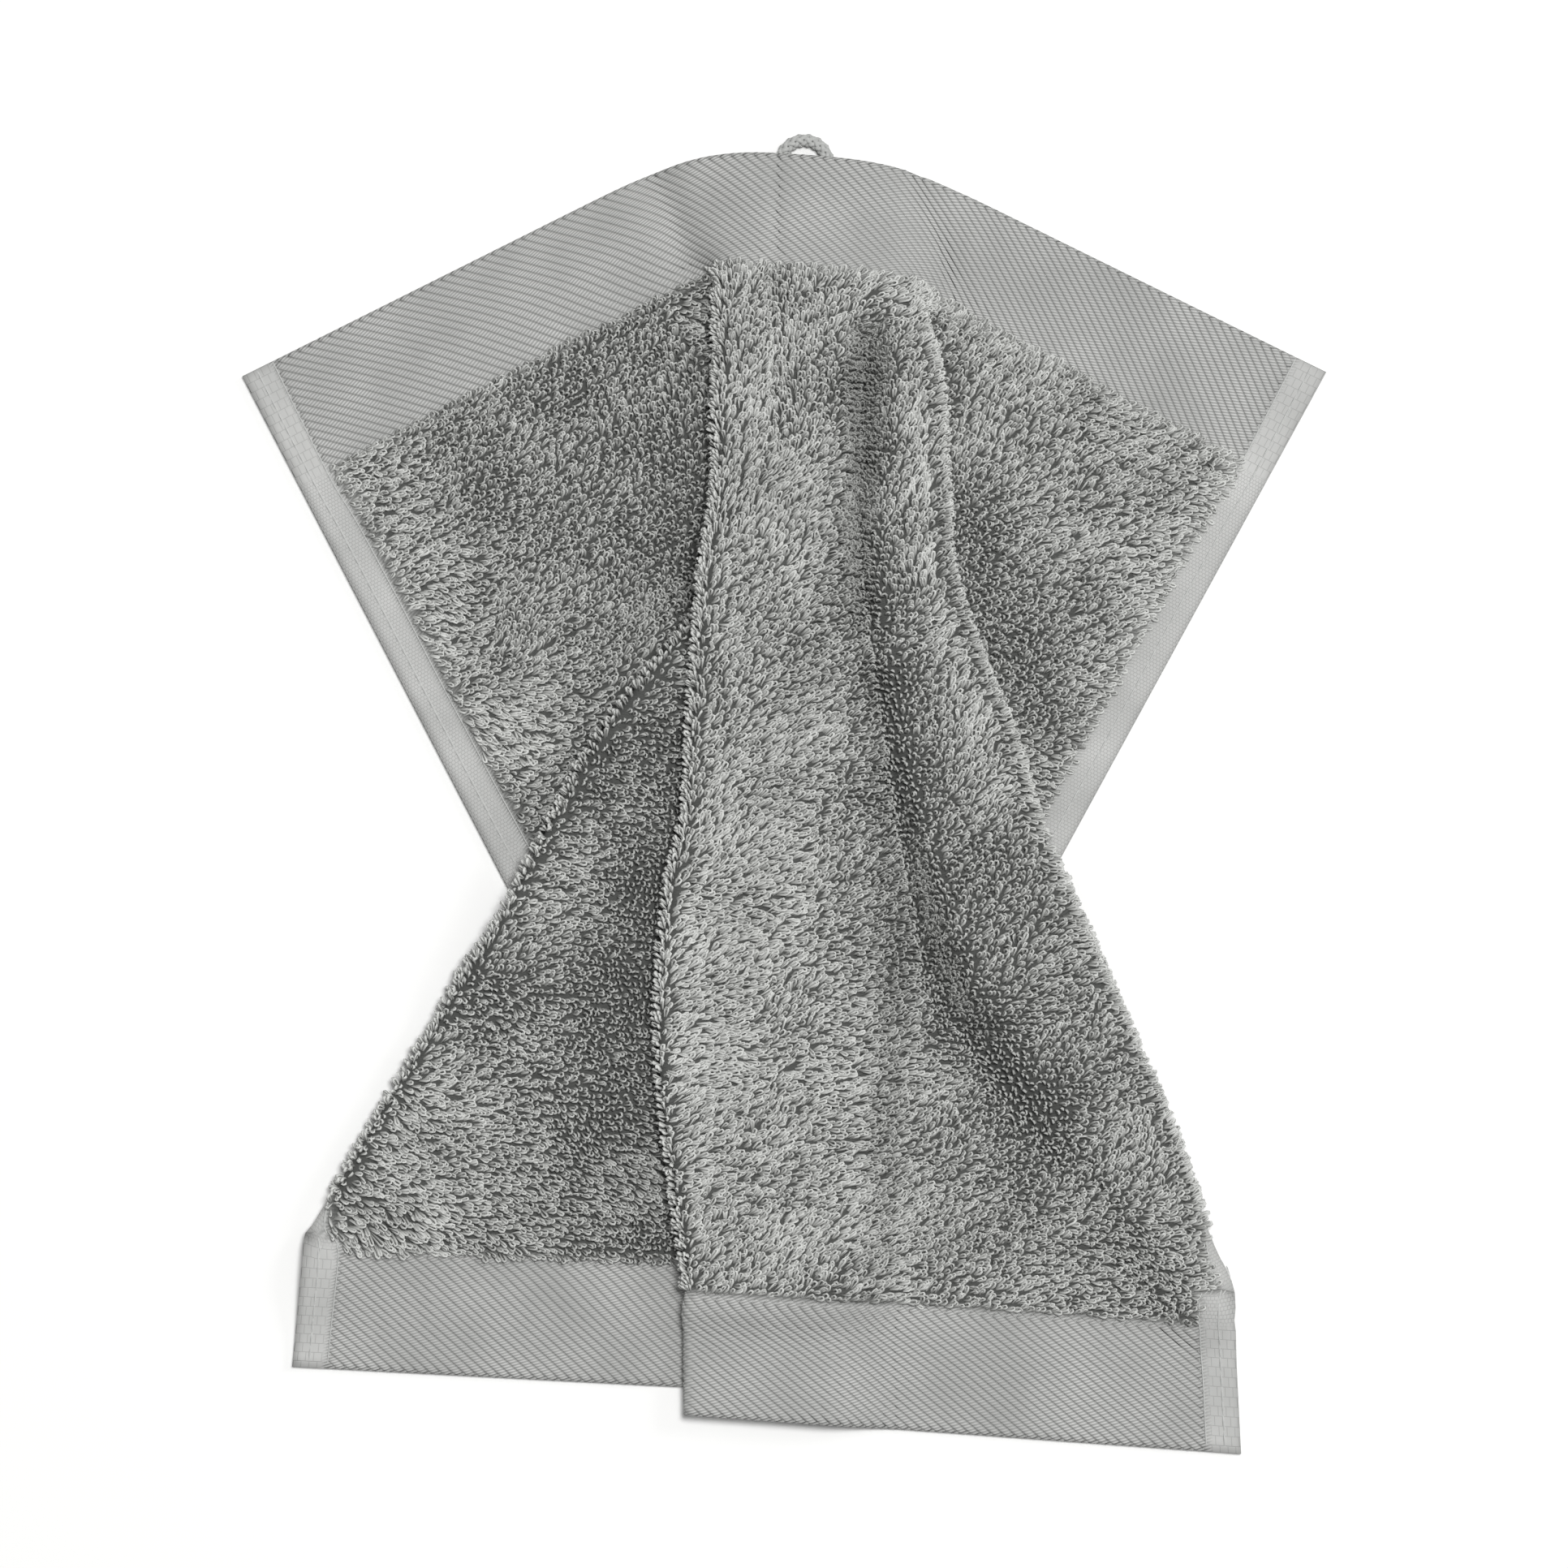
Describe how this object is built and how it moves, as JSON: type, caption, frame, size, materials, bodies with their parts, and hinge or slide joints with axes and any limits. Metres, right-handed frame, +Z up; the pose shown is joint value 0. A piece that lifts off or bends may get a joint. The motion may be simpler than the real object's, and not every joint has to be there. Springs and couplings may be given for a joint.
{
  "type": "folded washcloth",
  "caption": "Square terry washcloth laid in loose pleats that meet at its top hem, with flat woven bands and a cord hanging loop.",
  "frame": {"origin": "middle of the laid cloth's outline, on the surface that it lies on", "axes": "+X to the right as the pleats are looked at, +Y from the bottom hem to the gathered top hem, +Z up"},
  "size_m": [0.261, 0.318, 0.0226],
  "materials": {
    "terry_cloth": "matt cotton terry",
    "cotton_cord": "matt twisted cord"
  },
  "bodies": {
    "root": {"washcloth": "terry_cloth", "hanging_loop": "cotton_cord"}
  },
  "joints": []
}
